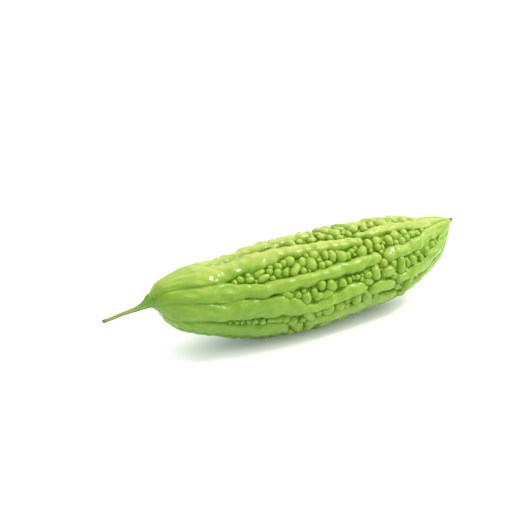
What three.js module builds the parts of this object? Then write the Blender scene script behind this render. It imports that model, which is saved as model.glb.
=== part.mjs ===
// Bitter gourd (Momordica charantia), as picked and lying on its belly.
//
// Millimetres. +X runs from the stem end to the blossom end, +Z is up, and the origin is on the
// surface the gourd lies on, under the middle of its overall box.
//
// The fruit is one body. Its place on the skin is given by two numbers: the station, which is the
// distance from the stem end along the fruit, and the angle round it, which is 0 at the front (-Y),
// 90 at the top and -90 at the belly. Ten broken ridges and the warts between them stand up from
// the floor of the valleys, and a formula gives the height of the skin above that floor anywhere.

import * as THREE from "three";
import { ConvexHull } from "three/addons/math/ConvexHull.js";

// ---------------------------------------------------------------- driving dimensions

const FRUIT_LENGTH = 218;
const NECK_X = -93.5;
const REST_SINK = 0.75;

// The body: station, radius over the ridge tops, height of the fruit's axis.
const BODY = [
  [0, 4.3, 43.0],
  [8, 11.8, 43.0],
  [22, 19.4, 39.5],
  [45, 24.0, 34.5],
  [75, 29.6, 32.0],
  [109, 31.2, 31.2],
  [143, 29.3, 32.5],
  [172, 26.6, 34.2],
  [196, 18.2, 39.2],
  [209, 9.8, 45.2],
  [218, 2.0, 49.2],
];

// Depth of the valleys below the ridge tops, by station.
const VALLEY_DEPTH = [
  [0, 0.7],
  [8, 1.8],
  [22, 3.6],
  [60, 5.0],
  [110, 5.6],
  [160, 5.2],
  [200, 3.4],
  [218, 0.7],
];

// The two ridges it lies on reach a little further out than the others.
const BELLY_SWELL = 0.06;
const BELLY_SWELL_SPREAD = 22;

// Ridges, each a chain of pieces. A piece is a list of station, angle and half-width.
const RIDGES = [
  [
    [
      [0, 104, 9], [10, 106, 14], [20, 105, 13], [32, 106, 10], [45, 106, 8.2], [57, 106, 8],
      [75, 104, 7], [92, 101, 5.8], [108, 98.5, 4.8],
    ],
    [[142, 106, 4.8], [152, 107, 5.8], [170, 108, 6], [190, 111, 6], [218, 114, 5]],
  ],
  [
    [
      [0, 62, 9], [5, 63, 12], [10, 68, 14], [20, 66.5, 13], [32, 68, 10.5], [40, 69.5, 9.2],
      [52, 73.5, 8.3], [70, 73, 8.7], [82, 74.5, 6.8], [98, 71.5, 5.9], [112, 68, 5.7],
      [128, 64.5, 5.4], [138, 62, 4.2],
    ],
    [
      [141, 71, 3.4], [152, 71.5, 4.4], [162, 73.5, 5.1], [174, 74, 5.1], [186, 72, 5.2],
      [200, 72, 4.6], [218, 76, 5],
    ],
  ],
  [
    [
      [0, -2, 9], [5, 18, 12], [10, 25, 10.6], [20, 27, 8.2], [30, 29.2, 7], [40, 29.6, 7.3],
      [50, 30.2, 5.6], [62, 26.8, 5.5], [74, 28, 5.3], [90, 28, 5.6], [101, 29.5, 4.9],
      [114, 31, 5], [128, 31, 5.2], [140, 32.5, 5.3], [145.5, 34, 5],
    ],
    [
      [157, 32.5, 5.8], [166, 33.5, 5.2], [180, 33.5, 5.3], [190, 37, 5.2], [200, 40, 5],
      [218, 42, 5],
    ],
  ],
  [
    [
      [0, -50, 9], [5, -32, 15], [10, -27, 18], [20, -11.5, 10.3], [30, -6.5, 7.4], [40, -3.5, 7.5],
      [50, 0, 8.4], [60, 0, 7.5], [70, 0.8, 8.3], [79, -1.5, 8.2], [84, -3, 7.9], [87, -5, 6.8],
      [89.5, -7.5, 5.1], [92, -9, 4.8], [100, -8.5, 5.2], [110, -5, 5.3], [120, -2, 6.1],
      [131, 0, 6.2],
    ],
    [[142, -8, 5], [149, -10, 5.6], [155, -12, 5.2]],
    [
      [164, -6.5, 4.4], [174, -6.5, 5.2], [185, -6.5, 5], [196, -3, 4.8], [206, 1, 4.2], [218, 8, 5],
    ],
  ],
  [
    [
      [0, -80, 9], [5, -80, 12], [10, -79, 11], [20, -50, 7.4], [30, -42.5, 7.2], [40, -44, 7.6],
      [56, -45.5, 8.5], [68, -43, 8.3], [77, -40, 7.4],
    ],
    [[98, -37, 5], [108, -34, 6], [120, -34, 6], [135, -35, 5.5], [150, -34, 5.2], [158, -34, 4.4]],
    [[169, -33, 4], [178, -32, 5], [190, -34, 4.5], [205, -35, 4.2], [218, -34, 5]],
  ],
  [
    [
      [0, -106, 9], [10, -104, 9], [20, -86, 7.6], [50, -80, 7.4], [80, -77, 7.4], [109, -76, 7.2],
      [146, -75, 6.4],
    ],
    [[159, -73, 5.8], [180, -72, 6.2], [200, -71, 5.2], [218, -70, 5]],
  ],
  [
    [
      [0, -132, 9], [10, -130, 9], [20, -119, 7.6], [60, -108, 7.6], [109, -105, 7.2],
      [150, -106, 6.7], [185, -108, 6.2], [218, -106, 5],
    ],
  ],
  [
    [[0, -160, 9], [20, -153, 7.4], [60, -144, 7.4], [95, -142, 6.7], [124, -141, 5.4]],
    [[137, -144, 5.4], [152, -142, 6.4], [180, -143, 6.4], [200, -144, 5.2], [218, -142, 5]],
  ],
  [
    [[0, 172, 9], [25, 176, 7.4], [60, 180, 7], [84, 178, 5.8]],
    [
      [97, 181, 5.6], [112, 178, 6.5], [140, 177, 6.3], [165, 179, 5.8], [190, 180, 5.4],
      [218, 182, 5],
    ],
  ],
  [
    [[0, 139, 9], [25, 140, 8], [60, 143, 7], [90, 142, 6.6], [114, 143, 5.4]],
    [[127, 140, 5.4], [150, 143, 6.4], [176, 144, 6.2], [200, 147, 5.2], [218, 148, 5]],
  ],
];

// Ridges that come too close share the space between them, and overlap by this much. Two of them
// overlap more near the stalk, where they are almost one broad ridge: station, overlap.
const RIDGE_OVERLAP = 1.12;
const MERGED_RIDGES = [0, 1];
const MERGED_OVERLAP = [
  [0, 1.6],
  [35, 1.6],
  [60, 1.12],
];

// The section of a ridge is fuller than a circle's, which has 2 here. A wart's is a circle's.
const RIDGE_SQUARENESS = 2.3;
const WART_SQUARENESS = 2;

// How much the ridges' edges wave and their crests dip, by station, as shares of width and height.
const EDGE_WAVE = [
  [0, 0],
  [35, 0.02],
  [80, 0.1],
  [218, 0.1],
];
const CREST_WAVE = [
  [0, 0.02],
  [40, 0.05],
  [90, 0.1],
  [218, 0.1],
];

// The largest warts: station, angle, radius, and how far and which way they are drawn out, in
// degrees from the way to the blossom end.
const LARGE_WARTS = [
  [47, 46.5, 1.9, 0, 0], [57, 52, 2, 0, 0], [57, 45.5, 2.1, 0.8, 10], [64, 51.5, 2.2, 1.6, 20],
  [66, 43, 2.1, 2.2, 10], [70.5, 49, 2.2, 0, 0], [77, 54.5, 2.6, 0, 0], [75.5, 45.5, 2.6, 0, 0],
  [81.5, 56.5, 2.5, 0, 0], [80.8, 43.5, 2.5, 0, 0], [85.5, 57, 3, 0.6, 20], [87.5, 46, 2.7, 2, 40],
  [94.5, 52.5, 2.7, 0.8, 60], [99.5, 49, 3.7, 1, 60], [104, 58, 2.7, 0.8, 0],
  [106, 42.5, 2.6, 0, 0], [111.5, 55, 2.6, 0.6, 90], [116, 50.5, 2.9, 1.2, 90],
  [121.8, 47.5, 3.5, 0.8, 70], [121, 55, 2, 0, 0], [127.5, 45.5, 2.3, 0.6, 60],
  [130, 50.5, 2.2, 0, 0], [137.5, 47, 3, 1.4, 40], [144.5, 54, 3, 0.4, 60],
  [149.8, 47.5, 2.5, 0, 0], [151.5, 57, 2.8, 0.8, 20], [160, 53, 3.2, 0.5, 90],
  [164.5, 46.5, 2.5, 0, 0], [166.5, 58, 3.2, 0.8, 10], [175, 49, 2.6, 0, 0],
  [175.5, 59, 2.5, 0.4, 0], [181, 53.5, 2.5, 0.8, 0], [186, 53, 2.3, 0.4, 0],
  [191.5, 53.5, 1.9, 0, 0], [85.5, 12.5, 2.4, 0, 0], [91, 6, 3.7, 0.4, 90], [97, 12, 2.6, 0, 0],
  [99.5, 5, 2.8, 0.4, 20], [106, 6.5, 2.6, 1.8, 15], [110, 15, 3.2, 1.2, -50], [118, 14.5, 3, 0, 0],
  [123.5, 15.5, 1.9, 0, 0], [129.5, 15.5, 1.9, 0, 0], [137, 14, 2.7, 0, 0],
  [143, 13.5, 3.2, 1.6, 90], [144, 22.5, 2.2, 0, 0], [152.5, 9.5, 3.7, 1.4, 10],
  [163, 14, 3, 2.6, 80], [169, 12.5, 2.1, 0.6, 80], [173.5, 13.5, 2.9, 0.5, 80],
  [178.5, 19.5, 2.3, 0.3, 0], [186.5, 14, 3.2, 0, 0], [194, 18, 2, 0.3, 0],
  [161.5, -6, 2.9, 0.6, 90], [89, -37, 4.2, 0, 0], [102, 87, 2.2, 0.4, 0], [110, 85, 2.6, 0.5, 30],
  [118.6, 86, 2.8, 0.5, 20], [129, 88, 3.6, 0.8, 20], [136.6, 79, 2.4, 0, 0],
  [141.5, 88, 3, 0.5, 0], [125, 100, 3.2, 0.8, 0], [151, 91, 2.6, 0.4, 0], [44.5, -24.5, 1.2, 0, 0],
  [48.5, -23.3, 1.3, 0, 0], [52, -22.8, 1.5, 0, 0], [55.7, -22.3, 1.6, 0, 0],
  [59.6, -21.6, 2, 0, 0], [64.2, -21.3, 2.2, 0, 0], [69.2, -21.2, 1.8, 0.8, 0],
  [74.3, -21, 1.9, 1.2, 0], [79.6, -21, 2.2, 0.6, 0],
];

// The rest are scattered, large to small: least radius, largest radius, tries.
const WART_SEED = 20;
const WART_SIZES = [
  [3.0, 4.2, 3000],
  [2.2, 3.3, 5000],
  [1.6, 2.4, 7000],
];
const WART_FIRST_STATION = 30;
const WART_LAST_STATION = 211;
const WART_CROWDING = 0.92;
const WART_RIDGE_GAP = 0.42;
const WART_STRETCH = 0.95;
const NEIGHBOUR_REACH = 14;
const RIDGE_END_REACH = 30;

// The stalk: distance from the fruit, radius. Its middle line: x back from the neck, y, z from it.
const STALK_RADIUS = [
  [0, 4.1],
  [3, 3.4],
  [7, 2.4],
  [11, 1.7],
  [20, 1.35],
  [30, 1.2],
  [35, 1.35],
];
const STALK_LINE = [
  [0, 0, 0],
  [-3.4, -0.5, -1.2],
  [-9, -1.2, -2.4],
  [-18.5, -2.6, -2.7],
  [-28, -4.0, -3.4],
  [-33, -4.6, -3.6],
];
const STALK_SIDES = 10;
const STALK_STEPS = 20;
const STALK_RIB = 0.07;

// The dried remains of the flower at the blossom end: distance from the fruit, radius.
const SCAR_PROFILE = [
  [0, 1.5],
  [0.9, 1.25],
  [1.9, 0.75],
  [2.4, 0.35],
];
const SCAR_SIDES = 8;

// Pieces that touch keep this gap.
const GAP = 0.3;

// Fineness of the fruit's facets: how far apart corners are, in millimetres, how many go round what
// is round, and at which shares of a width or a depth they lie.
const RIDGE_STEP = 5.2;
const RIDGE_LANES = [0, -1, 1, -0.52, 0.52, -0.84, 0.84];
const LARGE_WART = 2.4;
const WART_RING = 0.6;
const CREASE_REACH = 1.3;
const FOOT_SIDES = 8;
const LOW_SHARE = 0.4;
const RIM_SIDES = 20;
const LEAST_SPACING = 1.0;
const CREASE_SPACING = 0.8;
const FOOT_SPACING = 1.15;
const FLOOR_SPACING = 1.9;
const FLOOR_TRIES = 9000;
const FLAT_SPACING = 2.6;
const FLAT_TRIES = 6000;
const FLAT_STATIONS = [0.3, 0.7];
const FLAT_TURN = 30;
const FLOOR_SHARE = 0.12;
const RIM_SPACING = 0.2;
const LARGE_WART_SIDES = 6;
const SMALL_WART_SIDES = 5;
const ROUND_END_RINGS = [
  [0.6, 3],
  [1.01, 5],
];

// ---------------------------------------------------------------- curves and numbers

const DEG = Math.PI / 180;

// A smooth curve through a table's points, read at x: cubic pieces whose slopes at each point are
// those of the line between its neighbours. Outside the table it keeps its end value.
function smoothRead(table, x, column = 1) {
  const last = table.length - 1;
  if (x <= table[0][0]) return table[0][column];
  if (x >= table[last][0]) return table[last][column];
  let i = 0;
  while (x > table[i + 1][0]) i += 1;
  const slope = (k) => {
    const before = table[Math.max(k - 1, 0)];
    const after = table[Math.min(k + 1, last)];
    return (after[column] - before[column]) / (after[0] - before[0]);
  };
  const span = table[i + 1][0] - table[i][0];
  const t = (x - table[i][0]) / span;
  const tt = t * t;
  const ttt = tt * t;
  return (
    (2 * ttt - 3 * tt + 1) * table[i][column] +
    (ttt - 2 * tt + t) * span * slope(i) +
    (3 * tt - 2 * ttt) * table[i + 1][column] +
    (ttt - tt) * span * slope(i + 1)
  );
}

// A seeded stream of numbers from 0 to 1.
function seededNumbers(seed) {
  let state = seed >>> 0;
  return () => {
    state = (Math.imul(state, 1664525) + 1013904223) >>> 0;
    return state / 4294967296;
  };
}

// The shortest way round from one angle to another, from -180 to 180.
function turnBetween(from, to) {
  return ((((to - from + 180) % 360) + 360) % 360) - 180;
}

const ridgeTopRadius = (station) => smoothRead(BODY, station, 1);
const axisHeight = (station) => smoothRead(BODY, station, 2);
const valleyDepth = (station) => smoothRead(VALLEY_DEPTH, station);

// ---------------------------------------------------------------- relief of the skin

// Every ridge piece as one record, with its own phase for the waves along it.
const ridgePieces = RIDGES.flatMap((chain, ridge) => chain.map((points) => ({ ridge, points })));
ridgePieces.forEach((piece, index) => {
  piece.phase = 2.4 * index;
  piece.first = piece.points[0][0];
  piece.last = piece.points.at(-1)[0];
});

// How far a station lies past a piece's ends.
const pastEnds = (piece, station) => Math.max(piece.first - station, station - piece.last, 0);

const ridgeMiddle = (piece, station) => smoothRead(piece.points, station, 1);

// A ridge piece's half-width on one side, 1 or -1, with an edge that waves.
function ownWidth(piece, station, side) {
  const held = THREE.MathUtils.clamp(station, piece.first, piece.last);
  const wave = Math.sin((held / 16) * 2 * Math.PI + piece.phase + 1.9 * side);
  const ripple = Math.sin((held / 8.7) * 2 * Math.PI + 1.7 * piece.phase - 1.3 * side);
  const swing = smoothRead(EDGE_WAVE, held) * (wave + 0.5 * ripple);
  return smoothRead(piece.points, held, 2) * (1 + swing);
}

// A ridge piece's share of the space up to the next ridge on one side, in millimetres.
function ridgeSpace(piece, station, side) {
  const beside = (piece.ridge - side + RIDGES.length) % RIDGES.length;
  const next = ridgePieces
    .filter((other) => other.ridge === beside)
    .reduce((a, b) => (pastEnds(b, station) < pastEnds(a, station) ? b : a));
  const own = ownWidth(piece, station, side);
  const facing = ownWidth(next, station, -side);
  const turn = turnBetween(ridgeMiddle(piece, station), ridgeMiddle(next, station));
  return (Math.abs(turn) * DEG * ridgeTopRadius(station) * own) / (own + facing);
}

// The half-width on one side. Ridges that meet overlap a little, so that the crease between them
// is not as deep as a valley.
function ridgeWidth(piece, station, side) {
  const beside = (piece.ridge - side + RIDGES.length) % RIDGES.length;
  const merged = MERGED_RIDGES.includes(piece.ridge) && MERGED_RIDGES.includes(beside);
  const overlap = merged ? smoothRead(MERGED_OVERLAP, station) : RIDGE_OVERLAP;
  return Math.min(ownWidth(piece, station, side), overlap * ridgeSpace(piece, station, side));
}

// How far out on a ridge piece a place is: 0 on its crest, 1 at its edge. The ends are round.
function ridgeReach(piece, station, angle) {
  const past = pastEnds(piece, station);
  if (past > RIDGE_END_REACH) return { reach: Infinity, width: 1 };
  const turn = turnBetween(ridgeMiddle(piece, station), angle);
  const width = ridgeWidth(piece, station, turn > 0 ? 1 : -1);
  const reach = Math.hypot(past, turn * DEG * ridgeTopRadius(station)) / width;
  return { reach, width };
}

// A ridge's height along its crest, as a share of the valley depth.
function crestShare(piece, station) {
  const swell = Math.sin((station / 21) * 2 * Math.PI + 1.3 * piece.phase);
  const knob = Math.sin((station / 10.3) * 2 * Math.PI + 2.1 * piece.phase);
  return 1 - smoothRead(CREST_WAVE, station) * (0.5 - 0.3 * swell - 0.2 * knob);
}

// Distance from a place to a wart's spine, over the wart's radius.
function wartReach(wart, station, angle) {
  const radius = ridgeTopRadius(wart.station);
  const along = station - wart.station;
  const round = turnBetween(wart.angle, angle) * DEG * radius;
  const onSpine = along * wart.spine[0] + round * wart.spine[1];
  const held = THREE.MathUtils.clamp(onSpine, -wart.stretch, wart.stretch);
  return Math.hypot(along - held * wart.spine[0], round - held * wart.spine[1]) / wart.radius;
}

// A wart's height as a share of the valley depth: small ones stay lower.
const wartShare = (wart) => Math.min(0.35 + 0.2 * wart.radius, 0.97);

// The rounded section of a ridge or a wart: 1 on top, 0 at the edge.
const dome = (reach, squareness) => Math.max(1 - reach ** squareness, 0) ** (1 / squareness);

// Height of the skin above the valley floor.
function relief(station, angle, warts) {
  let share = 0;
  for (const piece of ridgePieces) {
    const { reach } = ridgeReach(piece, station, angle);
    share = Math.max(share, crestShare(piece, station) * dome(reach, RIDGE_SQUARENESS));
  }
  for (const wart of warts) {
    if (Math.abs(station - wart.station) > wart.radius + wart.stretch) continue;
    const reach = wartReach(wart, station, angle);
    share = Math.max(share, wartShare(wart) * dome(reach, WART_SQUARENESS));
  }
  return share * valleyDepth(station);
}

// ---------------------------------------------------------------- warts

// The spine's ends and middle, in millimetres from the wart's own place.
const spinePoints = (wart) =>
  [-1, 0, 1].map((end) => wart.spine.map((part) => end * wart.stretch * part));

// The closest points of two warts' spines, in millimetres from the first wart's place.
function nearestSpines(a, b) {
  const radius = ridgeTopRadius((a.station + b.station) / 2);
  const offset = [b.station - a.station, turnBetween(a.angle, b.angle) * DEG * radius];
  let nearest = { distance: Infinity };
  for (const from of spinePoints(a)) {
    for (const spot of spinePoints(b)) {
      const to = [offset[0] + spot[0], offset[1] + spot[1]];
      const distance = Math.hypot(to[0] - from[0], to[1] - from[1]);
      if (distance < nearest.distance) nearest = { distance, from, to };
    }
  }
  return nearest;
}

// The largest radius a wart could have at a place before it crowds its neighbours. Its edge may
// sink into a ridge's flank, but its middle stays out in the valley.
function roomAt(wart, warts) {
  let room = Infinity;
  for (const piece of ridgePieces) {
    const { reach, width } = ridgeReach(piece, wart.station, wart.angle);
    room = Math.min(room, ((reach - 1) * width) / WART_RIDGE_GAP);
  }
  for (const other of warts) {
    if (Math.abs(other.station - wart.station) > NEIGHBOUR_REACH) continue;
    const { distance } = nearestSpines(wart, other);
    room = Math.min(room, distance / WART_CROWDING - other.radius);
  }
  return room;
}

// Large to small, each at a random place and as large as it has room for. Some grow long.
function scatterWarts() {
  const draw = seededNumbers(WART_SEED);
  const warts = LARGE_WARTS.map(([station, angle, radius, stretch, heading]) => {
    const spine = [Math.cos(heading * DEG), Math.sin(heading * DEG)];
    return { station, angle, radius, stretch, spine };
  });
  for (const [least, most, tries] of WART_SIZES) {
    for (let i = 0; i < tries; i += 1) {
      const station = WART_FIRST_STATION + draw() * (WART_LAST_STATION - WART_FIRST_STATION);
      const angle = 360 * draw() - 180;
      const wanted = least + draw() * (most - least);
      const heading = 2 * Math.PI * draw();
      const length = WART_STRETCH * draw();
      const wart = { station, angle, radius: 0, stretch: 0, spine: [1, 0] };
      wart.radius = Math.min(wanted, roomAt(wart, warts));
      if (wart.radius < least) continue;
      const spine = [Math.cos(heading), Math.sin(heading)];
      const long = { ...wart, stretch: length * wart.radius, spine };
      warts.push(roomAt(long, warts) < wart.radius ? wart : long);
    }
  }
  return warts;
}

// ---------------------------------------------------------------- the skin in space

// The fruit's axis at a station, and the direction across it that points up.
function axisFrame(station) {
  const step = 0.5;
  const rise = (axisHeight(station + step) - axisHeight(station - step)) / (2 * step);
  const run = new THREE.Vector3(1, 0, rise).normalize();
  const up = new THREE.Vector3(-run.z, 0, run.x);
  const middle = new THREE.Vector3(NECK_X + station, 0, axisHeight(station) - REST_SINK);
  return { middle, run, up };
}

// A place on the skin. Below the surface that the fruit lies on, the skin is pressed flat.
function skinPoint(station, angle, warts) {
  const { middle, up } = axisFrame(station);
  const fromBelly = turnBetween(-90, angle) / BELLY_SWELL_SPREAD;
  const swell = 1 + BELLY_SWELL * Math.exp(-fromBelly * fromBelly);
  const floor = ridgeTopRadius(station) * swell - valleyDepth(station);
  const radius = floor + relief(station, angle, warts);
  const point = middle.clone();
  point.addScaledVector(up, radius * Math.sin(angle * DEG));
  point.y -= radius * Math.cos(angle * DEG);
  point.z = Math.max(point.z, 0);
  return point;
}

// ---------------------------------------------------------------- facets of the fruit

// Places on a ring round a wart's spine, at a share of its radius.
function ringRound(wart, reach, sides) {
  const girthRadius = ridgeTopRadius(wart.station);
  const places = [];
  for (let i = 0; i < sides; i += 1) {
    const heading = (2 * Math.PI * (i + 0.5)) / sides;
    const ahead = Math.cos(heading) * wart.radius * reach;
    const out = ahead + Math.sign(ahead) * wart.stretch;
    const across = Math.sin(heading) * wart.radius * reach;
    const along = out * wart.spine[0] - across * wart.spine[1];
    const round = out * wart.spine[1] + across * wart.spine[0];
    places.push([wart.station + along, wart.angle + round / girthRadius / DEG]);
  }
  return places;
}

// The middle of the crease between two warts that touch or nearly touch, or null.
function creaseBetween(a, b) {
  if (Math.abs(a.station - b.station) > NEIGHBOUR_REACH) return null;
  const { distance, from, to } = nearestSpines(a, b);
  if (distance > CREASE_REACH * (a.radius + b.radius)) return null;
  const share = a.radius / (a.radius + b.radius);
  const along = from[0] + share * (to[0] - from[0]);
  const round = from[1] + share * (to[1] - from[1]);
  const radius = ridgeTopRadius((a.station + b.station) / 2);
  return [a.station + along, a.angle + round / radius / DEG];
}

// Chooses the places that become corners of facets. Earlier ones win: a place too near one that is
// already taken is left out.
function chooseCorners(warts) {
  const corners = [];
  const taken = new Map();
  const rowLength = 4;

  function roomFor(station, angle, spacing) {
    const radius = ridgeTopRadius(station);
    const row = Math.round(station / rowLength);
    for (const nearRow of [row - 1, row, row + 1]) {
      for (const other of taken.get(nearRow) ?? []) {
        const round = turnBetween(other.angle, angle) * DEG * radius;
        if (Math.hypot(station - other.station, round) < spacing) return false;
      }
    }
    return true;
  }

  function add(station, angle, spacing) {
    if (station < 0 || station > FRUIT_LENGTH || !roomFor(station, angle, spacing)) return;
    const corner = { station, angle, point: skinPoint(station, angle, warts) };
    const row = Math.round(station / rowLength);
    if (!taken.has(row)) taken.set(row, []);
    taken.get(row).push(corner);
    corners.push(corner);
  }

  // The rims round both ends.
  for (let i = 0; i < RIM_SIDES; i += 1) {
    add(0, (360 * i) / RIM_SIDES, RIM_SPACING);
    if (i % 2 === 0) add(FRUIT_LENGTH, (360 * i) / RIM_SIDES, RIM_SPACING);
  }

  // Wart tops, a ring part of the way down each, the creases where warts meet, and their feet.
  for (const wart of warts) add(wart.station, wart.angle, LEAST_SPACING);
  for (const wart of warts) {
    const sides = wart.radius > LARGE_WART ? LARGE_WART_SIDES : SMALL_WART_SIDES;
    for (const place of ringRound(wart, WART_RING, sides)) add(...place, LEAST_SPACING);
  }
  warts.forEach((wart, i) => {
    for (const other of warts.slice(i + 1)) {
      const crease = creaseBetween(wart, other);
      if (crease) add(...crease, CREASE_SPACING);
    }
  });
  for (const wart of warts) {
    for (const place of ringRound(wart, 1, FOOT_SIDES)) {
      if (relief(...place, warts) < LOW_SHARE * valleyDepth(place[0])) add(...place, FOOT_SPACING);
    }
  }

  // Lanes along each ridge: its crest, its shoulders and its edges, or the creases where it meets
  // the next one.
  for (const piece of ridgePieces) {
    const startPast = piece.first === 0 ? 0 : -1;
    const endPast = piece.last === FRUIT_LENGTH ? 0 : 1;
    const steps = Math.max(Math.round((piece.last - piece.first) / RIDGE_STEP), 1);
    for (const lane of RIDGE_LANES) {
      for (let i = 0; i <= steps; i += 1) {
        const station = piece.first + ((piece.last - piece.first) * i) / steps;
        const side = lane > 0 ? 1 : -1;
        const edge = Math.min(ridgeWidth(piece, station, side), ridgeSpace(piece, station, side));
        const turn = (lane * edge) / ridgeTopRadius(station) / DEG;
        add(station, ridgeMiddle(piece, station) + turn, LEAST_SPACING);
      }
    }
    // Round ends.
    for (const past of [startPast, endPast]) {
      if (past === 0) continue;
      const end = past < 0 ? piece.first : piece.last;
      for (const [reach, sides] of ROUND_END_RINGS) {
        for (let i = 0; i < sides; i += 1) {
          const heading = Math.PI * ((i + 0.5) / sides - 0.5);
          const width = reach * ridgeWidth(piece, end, heading > 0 ? 1 : -1);
          const turn = (width * Math.sin(heading)) / ridgeTopRadius(end) / DEG;
          const station = end + past * width * Math.cos(heading);
          add(station, ridgeMiddle(piece, end) + turn, LEAST_SPACING);
        }
      }
    }
  }

  // The flat spots that it rests on, then the valley floors.
  const draw = seededNumbers(WART_SEED + 1);
  for (let i = 0; i < FLAT_TRIES; i += 1) {
    const station = FRUIT_LENGTH * THREE.MathUtils.lerp(...FLAT_STATIONS, draw());
    const angle = -90 + FLAT_TURN * (2 * draw() - 1);
    if (skinPoint(station, angle, warts).z === 0) add(station, angle, FLAT_SPACING);
  }
  for (let i = 0; i < FLOOR_TRIES; i += 1) {
    const station = FRUIT_LENGTH * draw();
    const angle = 360 * draw();
    if (relief(station, angle, warts) < FLOOR_SHARE * valleyDepth(station)) {
      add(station, angle, FLOOR_SPACING);
    }
  }
  return corners;
}

// Joins the corners with triangles. The skin is first unrolled onto a ball without changing any
// small shape, by giving each station the latitude at which a chart of the ball has the same scale.
// The hull of the points on the ball then pairs each corner with its true neighbours.
function joinCorners(corners) {
  const chart = [0];
  const chartStep = 0.25;
  for (let station = 0; station < FRUIT_LENGTH; station += chartStep) {
    const here = ridgeTopRadius(station);
    const next = ridgeTopRadius(station + chartStep);
    const length = Math.hypot(chartStep, next - here);
    chart.push(chart[chart.length - 1] + (2 * length) / (here + next));
  }
  const chartAt = (station) => {
    const place = station / chartStep;
    const i = Math.min(Math.floor(place), chart.length - 2);
    return chart[i] + (place - i) * (chart[i + 1] - chart[i]);
  };
  const middle = chartAt(FRUIT_LENGTH) / 2;
  const places = corners.map(({ station, angle }) => {
    const height = Math.tanh(chartAt(station) - middle);
    const girth = 1 / Math.cosh(chartAt(station) - middle);
    return new THREE.Vector3(
      girth * Math.cos(angle * DEG),
      girth * Math.sin(angle * DEG),
      height,
    );
  });
  const points = corners.map((corner) => corner.point);

  // One corner in the middle of each end.
  for (const [station, pole] of [[0, -1], [FRUIT_LENGTH, 1]]) {
    places.push(new THREE.Vector3(0, 0, pole));
    points.push(axisFrame(station).middle);
  }

  const number = new Map(places.map((place, i) => [place, i]));
  const hull = new ConvexHull().setFromPoints(places);
  const index = hull.faces.flatMap((face) => {
    const ring = [face.edge, face.edge.next, face.edge.next.next];
    return ring.map((edge) => number.get(edge.head().point));
  });
  return closedGeometry(points, index);
}

// ---------------------------------------------------------------- meshes

function closedGeometry(points, index) {
  const geometry = new THREE.BufferGeometry().setFromPoints(points);
  geometry.setIndex(index);
  if (signedVolume(geometry) < 0) {
    for (let i = 0; i < index.length; i += 3) {
      [index[i + 1], index[i + 2]] = [index[i + 2], index[i + 1]];
    }
    geometry.setIndex(index);
  }
  geometry.computeVertexNormals();
  return geometry;
}

function signedVolume(geometry) {
  const at = (i) => new THREE.Vector3().fromBufferAttribute(geometry.attributes.position, i);
  const { array } = geometry.index;
  let volume = 0;
  for (let i = 0; i < array.length; i += 3) {
    volume += at(array[i]).dot(at(array[i + 1]).cross(at(array[i + 2]))) / 6;
  }
  return volume;
}

// A closed solid carried along rings of points, with a fan over each end.
function ringsToSolid(rings, startMiddle, endMiddle) {
  const sides = rings[0].length;
  const points = [...rings.flat(), startMiddle, endMiddle];
  const start = rings.length * sides;
  const index = [];
  for (let i = 0; i < sides; i += 1) {
    const next = (i + 1) % sides;
    for (let r = 0; r < rings.length - 1; r += 1) {
      const a = r * sides + i;
      const b = r * sides + next;
      index.push(a, b, b + sides, a, b + sides, a + sides);
    }
    const lastRing = (rings.length - 1) * sides;
    index.push(start, next, i, start + 1, lastRing + i, lastRing + next);
  }
  return closedGeometry(points, index);
}

function mesh(name, geometry, color, roughness) {
  const material = new THREE.MeshStandardMaterial({ color, roughness, metalness: 0 });
  const made = new THREE.Mesh(geometry, material);
  made.name = name;
  return made;
}

// The fruit.
const warts = scatterWarts();
const fruit = mesh("gourd", joinCorners(chooseCorners(warts)), 0xa3c957, 0.38);

// The stalk: a faintly ribbed tube that widens onto the neck, cut off square at its free end.
const neck = axisFrame(0);
const stalkStart = neck.middle.clone().addScaledVector(neck.run, -GAP);
const stalkCurve = new THREE.CatmullRomCurve3(
  STALK_LINE.map(([x, y, z]) => stalkStart.clone().add(new THREE.Vector3(x, y, z))),
);
const stalkRings = [];
for (let r = 0; r <= STALK_STEPS; r += 1) {
  const u = r / STALK_STEPS;
  const middle = stalkCurve.getPointAt(u);
  const run = r === 0 ? neck.run.clone().negate() : stalkCurve.getTangentAt(u);
  const across = new THREE.Vector3(0, 1, 0).cross(run).normalize();
  const side = run.clone().cross(across);
  const length = u * stalkCurve.getLength();
  const ring = [];
  for (let i = 0; i < STALK_SIDES; i += 1) {
    const turn = (2 * Math.PI * i) / STALK_SIDES;
    const rib = 1 + (i % 2 === 0 ? STALK_RIB : -STALK_RIB);
    const radius = smoothRead(STALK_RADIUS, length) * rib;
    const point = middle.clone().addScaledVector(across, radius * Math.cos(turn));
    ring.push(point.addScaledVector(side, radius * Math.sin(turn)));
  }
  stalkRings.push(ring);
}
const stalkGeometry = ringsToSolid(stalkRings, stalkStart, stalkCurve.getPointAt(1));
const stalk = mesh("stem", stalkGeometry, 0x9aaa66, 0.6);

// The dried flower scar.
const tip = axisFrame(FRUIT_LENGTH);
const scarRings = SCAR_PROFILE.map(([out, radius]) => {
  const ring = [];
  for (let i = 0; i < SCAR_SIDES; i += 1) {
    const turn = (2 * Math.PI * i) / SCAR_SIDES;
    const point = tip.middle.clone().addScaledVector(tip.run, GAP + out);
    point.addScaledVector(tip.up, radius * Math.sin(turn));
    point.y += radius * Math.cos(turn);
    ring.push(point);
  }
  return ring;
});
const scarFoot = tip.middle.clone().addScaledVector(tip.run, GAP);
const scarEnd = tip.middle.clone().addScaledVector(tip.run, GAP + SCAR_PROFILE.at(-1)[0]);
const scar = mesh("blossom_scar", ringsToSolid(scarRings, scarFoot, scarEnd), 0x5b4630, 0.85);

const group = new THREE.Group();
group.name = "bitter_gourd";
group.add(fruit, stalk, scar);

export default group;
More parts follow.
